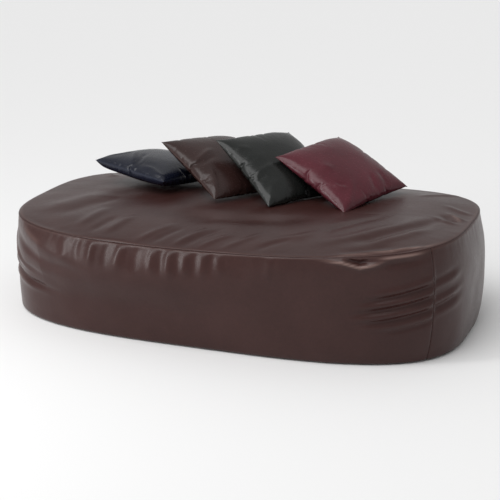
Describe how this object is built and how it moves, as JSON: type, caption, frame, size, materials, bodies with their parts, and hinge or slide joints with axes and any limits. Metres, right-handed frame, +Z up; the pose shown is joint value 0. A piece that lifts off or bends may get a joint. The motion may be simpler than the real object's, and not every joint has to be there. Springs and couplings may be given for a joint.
{
  "type": "bean bag lounger",
  "caption": "Large low bean bag lounger with a rounded-rectangle top, zipped removable liner of beads and loose scatter cushions in coated vinyl.",
  "frame": {"origin": "centre of the base, on the floor", "axes": "+X along the length to the right end, +Y to the rear where the zip is, +Z up"},
  "size_m": [1.84, 1.141, 0.6467],
  "materials": {
    "bag_vinyl": "dark red-brown coated vinyl, fine leather grain, satin",
    "navy_vinyl": "navy coated vinyl, fine leather grain, satin",
    "brown_vinyl": "dark red-brown coated vinyl, fine leather grain, satin",
    "black_vinyl": "near-black coated vinyl, fine leather grain, satin",
    "burgundy_vinyl": "burgundy coated vinyl, fine leather grain, satin",
    "liner_cloth": "plain white nonwoven",
    "pad_cloth": "plain white nonwoven",
    "polystyrene_beads": "expanded beads",
    "zip_tape": "woven",
    "zip_teeth": "moulded",
    "zip_metal": "dull nickel plate"
  },
  "bodies": {
    "bag": {"top_panel": "bag_vinyl", "base_panel": "bag_vinyl", "side_panel_front": "bag_vinyl", "side_panel_rear": "bag_vinyl", "liner_base": "liner_cloth", "liner_side": "liner_cloth", "liner_top": "liner_cloth", "bead_filling": "polystyrene_beads", "zip_tape_upper": "zip_tape", "zip_tape_lower": "zip_tape", "zip_teeth_upper": "zip_teeth", "zip_teeth_lower": "zip_teeth", "zip_stop_closed": "zip_metal", "zip_stop_open": "zip_metal"},
    "zip_slider": {"zip_slider": "zip_metal"},
    "zip_pull": {"zip_pull": "zip_metal"},
    "navy_cushion": {"navy_cushion_front": "navy_vinyl", "navy_cushion_back": "navy_vinyl", "navy_cushion_pad": "pad_cloth"},
    "brown_cushion": {"brown_cushion_front": "brown_vinyl", "brown_cushion_back": "brown_vinyl", "brown_cushion_pad": "pad_cloth"},
    "black_cushion": {"black_cushion_front": "black_vinyl", "black_cushion_back": "black_vinyl", "black_cushion_pad": "pad_cloth"},
    "burgundy_cushion": {"burgundy_cushion_front": "burgundy_vinyl", "burgundy_cushion_back": "burgundy_vinyl", "burgundy_cushion_pad": "pad_cloth"}
  },
  "joints": [
    {"name": "slider_travel", "type": "slide", "parent": "bag", "child": "zip_slider", "axis": [-1, 0, 0], "range_m": [0, 0.332]},
    {"name": "pull_swing", "type": "hinge", "parent": "zip_slider", "child": "zip_pull", "pos_m": [0.16615, 0.56951, 0.13], "axis": [0, 0, -1], "range_deg": [0, 175]},
    {"name": "navy_lift", "type": "slide", "parent": "bag", "child": "navy_cushion", "axis": [0, 0, 1], "range_m": [0, 0.25]},
    {"name": "brown_lift", "type": "slide", "parent": "navy_cushion", "child": "brown_cushion", "axis": [0, 0, 1], "range_m": [0, 0.25]},
    {"name": "black_lift", "type": "slide", "parent": "brown_cushion", "child": "black_cushion", "axis": [0, 0, 1], "range_m": [0, 0.25]},
    {"name": "burgundy_lift", "type": "slide", "parent": "black_cushion", "child": "burgundy_cushion", "axis": [0, 0, 1], "range_m": [0, 0.25]}
  ]
}
